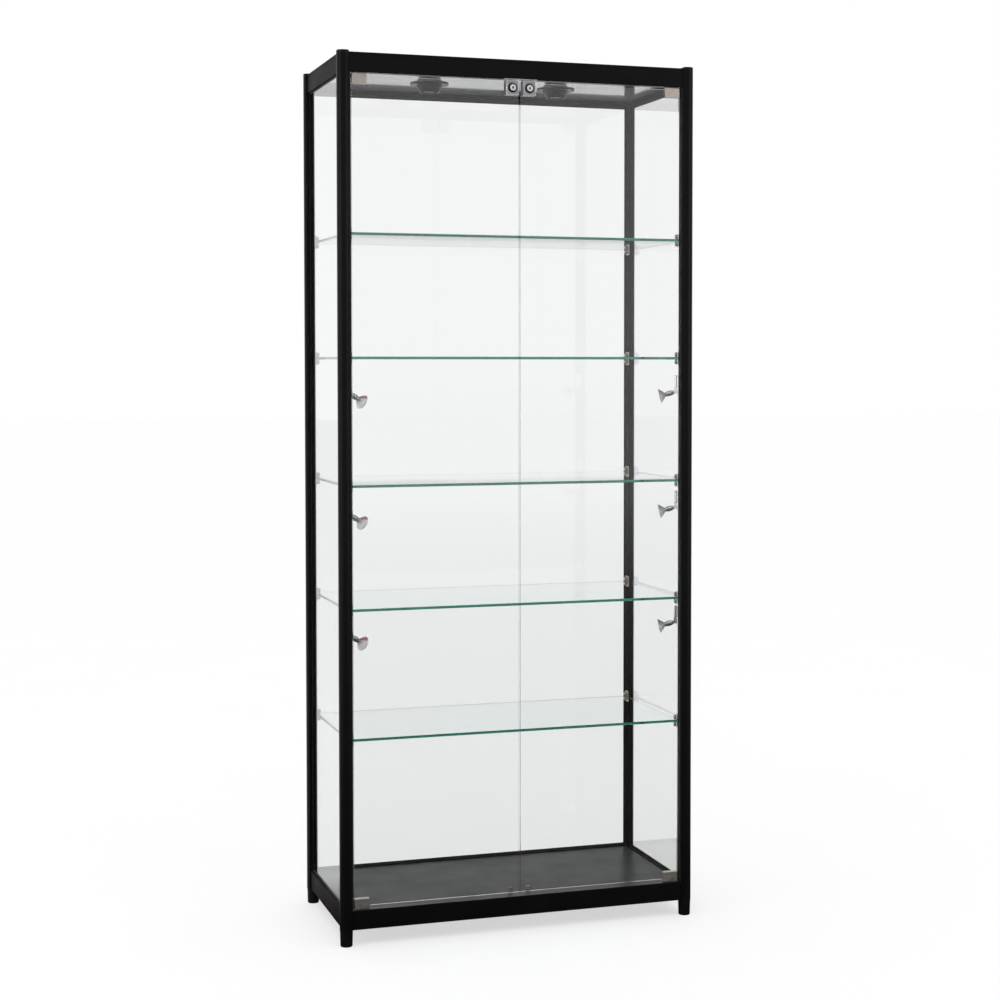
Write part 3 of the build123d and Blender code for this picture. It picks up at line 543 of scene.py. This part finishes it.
def make_lock_details(side_name):
    """A near-black disc of painted shade at the bottom of the dish round the key plug, a raised frame round
    the lock's face, the plug's dark collar, and a near-black diamond of painted shade for the keyway on its
    face."""
    body_low, body_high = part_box(f"{side_name}_lock_body")
    plug_low, plug_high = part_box(f"{side_name}_lock_cylinder")
    middle = (plug_low + plug_high) / 2
    radius = (plug_high.x - plug_low.x) / 2
    # Local x points from the lock's face out towards the user.
    facing = Matrix.Rotation(-math.pi / 2, 4, "Z")
    face = Matrix.Translation((middle.x, body_low.y, middle.z)) @ facing
    tip = body_low.y - plug_low.y

    # A thin near-black disc at the bottom of the dish stands for the dish's shade: painted shade.
    painted_shade = bmesh.new()
    lathe_tube(painted_shade, -LOCK_DISH_DEPTH, -LOCK_DISH_DEPTH + LOCK_SHADE_DISC_THICKNESS, radius + 0.5 * MM,
               LOCK_DISH_RADIUS - 0.1 * MM, face)
    finish_mesh(f"{side_name}_lock_painted_shade_disc", painted_shade, looks["painted_shade"], f"{side_name}_door")

    frame_ring = bmesh.new()
    width, height = body_high.x - body_low.x, body_high.z - body_low.z
    layers = []
    for along, margin in ((0.0, 0.5 * MM), (LOCK_FRAME_RISE, 0.9 * MM), (LOCK_FRAME_RISE, 1.9 * MM),
                          (0.0, 2.3 * MM)):
        across, up = width / 2 - margin, height / 2 - margin
        layers.append([frame_ring.verts.new(face @ Vector((along, a, b)))
                       for a, b in ((-across, -up), (across, -up), (across, up), (-across, up))])
    for index, one in enumerate(layers):
        two = layers[(index + 1) % len(layers)]
        for corner in range(4):
            after = (corner + 1) % 4
            frame_ring.faces.new([one[corner], one[after], two[after], two[corner]])
    bmesh.ops.bevel(frame_ring, geom=frame_ring.edges[:], offset=0.15 * MM, segments=2, profile=0.7,
                    affect="EDGES", clamp_overlap=True)
    finish_mesh(f"{side_name}_lock_frame", frame_ring, looks["chrome"], f"{side_name}_door")

    collar = bmesh.new()
    lathe_tube(collar, -LOCK_DISH_DEPTH + 0.5 * MM, tip - 0.7 * MM,
               radius - 0.1 * MM, radius + 0.15 * MM, face)
    finish_mesh(f"{side_name}_lock_collar", collar, looks["collar"], f"{side_name}_lock_plug")

    # The keyway is a shallow near-black diamond on the plug's face standing for the slot's shade: painted
    # shade.
    keyway = bmesh.new()
    front = tip - PLUG_DISH_DEPTH + 0.25 * MM
    back = tip - PLUG_DISH_DEPTH - 0.2 * MM
    outline = [(0, KEYWAY_HALF_HEIGHT), (KEYWAY_HALF_WIDTH, 0),
               (0, -KEYWAY_HALF_HEIGHT), (-KEYWAY_HALF_WIDTH, 0)]
    layers = [[keyway.verts.new(face @ Vector((along, across, up))) for across, up in outline]
              for along in (back, front)]
    keyway.faces.new(layers[0])
    keyway.faces.new(layers[1][::-1])
    for index in range(4):
        after = (index + 1) % 4
        keyway.faces.new([layers[0][index], layers[0][after], layers[1][after], layers[1][index]])
    bmesh.ops.bevel(keyway, geom=keyway.edges[:], offset=0.12 * MM, segments=2, profile=0.7, affect="EDGES",
                    clamp_overlap=True)
    finish_mesh(f"{side_name}_lock_keyway", keyway, looks["painted_shade"], f"{side_name}_lock_plug")


for lock_side in SIDES:
    make_lock_details(lock_side)


# ======== lighting driver ========
def make_driver():
    """A ribbed moulded case with a raised terminal cover at each end."""
    low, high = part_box("lighting_driver")
    centre = (low + high) / 2
    size = high - low
    builder = bmesh.new()

    def block(middle, extent):
        verts = bmesh.ops.create_cube(builder, size=1)["verts"]
        bmesh.ops.transform(builder, matrix=Matrix.Translation(middle) @ Matrix.Diagonal((*extent, 1)),
                            verts=verts)

    base_height = size.z * 0.82
    block(Vector((centre.x, centre.y, low.z + base_height / 2)), (size.x, size.y, base_height))
    span = size.x * 0.52
    for index in range(DRIVER_RIBS):
        x = centre.x - span / 2 + span * index / (DRIVER_RIBS - 1)
        block(Vector((x, centre.y, high.z - size.z * 0.12)), (2.2 * MM, size.y * 0.86, size.z * 0.2))
    for side in (-1, 1):
        x = centre.x + side * (size.x / 2 - 12 * MM)
        block(Vector((x, centre.y, high.z - size.z * 0.1)), (20 * MM, size.y * 0.9, size.z * 0.2))
    bmesh.ops.bevel(builder, geom=builder.edges[:], offset=0.7 * MM, segments=2, profile=0.7, affect="EDGES",
                    clamp_overlap=True)
    piece = finish_mesh("driver_case", builder, looks["white_case"], "cabinet")
    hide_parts("lighting_driver")


make_driver()


# ======== floor, lights and camera ========
def seen_directly(tree):
    """1 for a view ray that has met nothing but clear glass, and 0 for reflections and lighting."""
    ray = tree.nodes.new("ShaderNodeLightPath")

    def calculate(operation, one, two):
        node = tree.nodes.new("ShaderNodeMath")
        node.operation = operation
        for socket, value in zip(node.inputs, (one, two)):
            if isinstance(value, float):
                socket.default_value = value
            else:
                tree.links.new(value, socket)
        return node.outputs["Value"]

    straight = calculate("MAXIMUM", ray.outputs["Is Camera Ray"], ray.outputs["Is Transmission Ray"])
    bounces = calculate("ADD", ray.outputs["Glossy Depth"], ray.outputs["Diffuse Depth"])
    return calculate("MULTIPLY", straight, calculate("LESS_THAN", bounces, 0.5))


floor_mesh = bmesh.new()
bmesh.ops.create_grid(floor_mesh, x_segments=2, y_segments=2, size=FLOOR_SIZE)
floor_data = bpy.data.meshes.new("studio_floor")
floor_mesh.to_mesh(floor_data)
floor_mesh.free()
floor = bpy.data.objects.new("studio_floor", floor_data)
bpy.context.collection.objects.link(floor)
floor_look = Look("studio_floor_paint", (FLOOR_SHADE, FLOOR_SHADE, FLOOR_SHADE), 0.75)
floor_look.vary_colour(floor_look.noise(2.0, 3.0), 0.008)
floor_look.shader.inputs["Specular IOR Level"].default_value = 0.0
# In reflections the floor is dark on the side of the doors and pale behind the case.
behind = floor_look.tree.nodes.new("ShaderNodeSeparateXYZ")
floor_look.link(floor_look.place, behind.inputs["Vector"])
shades = []
for limits in ((0.0, 0.4, 0.0, 0.65), (-3.0, -14.0, 0.05, 0.62)):
    shades.append(map_range(floor_look.tree, behind.outputs["Y"], *limits).outputs["Result"])
shade_sum = floor_look.tree.nodes.new("ShaderNodeMath")
shade_sum.operation = "ADD"
for socket, value in zip(shade_sum.inputs, shades):
    floor_look.link(value, socket)
bounce = floor_look.tree.nodes.new("ShaderNodeBsdfDiffuse")
floor_look.link(shade_sum.outputs["Value"], bounce.inputs["Color"])
# A backlit sweep keeps the floor nearly as white under the case as beside it.
floor_look.shader.inputs["Emission Color"].default_value = WHITE
floor_look.shader.inputs["Emission Strength"].default_value = FLOOR_GLOW
floor_mix = floor_look.tree.nodes.new("ShaderNodeMixShader")
floor_look.link(seen_directly(floor_look.tree), floor_mix.inputs["Fac"])
floor_look.link(bounce.outputs["BSDF"], floor_mix.inputs[1])
floor_look.link(floor_look.shader.outputs["BSDF"], floor_mix.inputs[2])
floor_look.link(floor_mix.outputs["Shader"], floor_look.output.inputs["Surface"])
floor_data.materials.append(floor_look.material)

world = bpy.data.worlds.new("studio")
bpy.context.scene.world = world
world.use_nodes = True
sky = world.node_tree
background = sky.nodes["Background"]
# Seen straight on or through glass the studio is plain white; as a light it is dim below and soft above.
coordinates = sky.nodes.new("ShaderNodeTexCoord")
height = sky.nodes.new("ShaderNodeSeparateXYZ")
sky.links.new(coordinates.outputs["Generated"], height.inputs["Vector"])
fade = map_range(sky, height.outputs["Z"], -0.15, 0.02, 0.02, 0.88)
fade.interpolation_type = "SMOOTHSTEP"
band = sky.nodes.new("ShaderNodeValToRGB")
band.color_ramp.elements[0].position = 0.142
band.color_ramp.elements[0].color = WHITE
band.color_ramp.elements[1].position = 0.156
band.color_ramp.elements[1].color = (0.10, 0.10, 0.10, 1)
for position, value in ((0.40, 0.12), (0.60, 1.0)):
    stop = band.color_ramp.elements.new(position)
    stop.color = (value, value, value, 1)
sky.links.new(height.outputs["Z"], band.inputs["Fac"])
front = sky.nodes.new("ShaderNodeMath")
front.operation = "MULTIPLY"
sky.links.new(fade.outputs["Result"], front.inputs[0])
sky.links.new(band.outputs["Color"], front.inputs[1])
backdrop = map_range(sky, height.outputs["Y"], 0.10, 0.35, 0.0, 1.0)
surround = sky.nodes.new("ShaderNodeMix")
surround.data_type = "RGBA"
surround.inputs["B"].default_value = WHITE
sky.links.new(backdrop.outputs["Result"], surround.inputs["Factor"])
sky.links.new(front.outputs["Value"], surround.inputs["A"])
blend = sky.nodes.new("ShaderNodeMix")
blend.data_type = "RGBA"
sky.links.new(seen_directly(sky), blend.inputs["Factor"])
sky.links.new(surround.outputs["Result"], blend.inputs["A"])
blend.inputs["B"].default_value = WHITE
sky.links.new(blend.outputs["Result"], background.inputs["Color"])
background.inputs["Strength"].default_value = 1.0


def soft_box(name, place):
    """A tall soft box that faces the middle of the case."""
    data = bpy.data.lights.new(name, "AREA")
    data.shape = "RECTANGLE"
    data.size, data.size_y = SOFT_BOX_SIZE
    data.energy = SOFT_BOX_WATTS
    light = bpy.data.objects.new(name, data)
    bpy.context.collection.objects.link(light)
    light.location = place
    light.rotation_mode = "QUATERNION"
    light.rotation_quaternion = (Vector(LIGHT_TARGET) - Vector(place)).to_track_quat("-Z", "Y")


soft_box("left_box", (-4.0, -1.5, 1.6))
soft_box("right_box", (3.5, -3.5, 1.6))
sun = bpy.data.lights.new("overhead", "SUN")
sun.energy = SUN_STRENGTH
sun.angle = math.radians(70)
overhead = bpy.data.objects.new("overhead", sun)
overhead.rotation_euler = (math.radians(12), math.radians(-8), 0)
bpy.context.collection.objects.link(overhead)

# The camera stands at the front left, a little above the middle of the case.
camera_data = bpy.data.cameras.new("camera")
camera = bpy.data.objects.new("camera", camera_data)
bpy.context.collection.objects.link(camera)
camera_data.sensor_width = SENSOR_MM
camera_data.lens = FOCAL_PIXELS / PIXELS * SENSOR_MM
camera_data.shift_x, camera_data.shift_y = CAMERA_SHIFT
camera_data.clip_end = 200
camera.location = CAMERA_PLACE
camera.rotation_euler = (math.pi / 2 - CAMERA_DOWN, 0, CAMERA_TURN)
bpy.context.scene.camera = camera
bpy.context.scene.view_settings.view_transform = "Standard"
# Light that is trapped in a shelf's edge needs many bounces, or the edge goes black.
cycles = bpy.context.scene.cycles
cycles.max_bounces = LIGHT_BOUNCES
cycles.glossy_bounces = LIGHT_BOUNCES
cycles.transmission_bounces = LIGHT_BOUNCES
cycles.transparent_max_bounces = 32
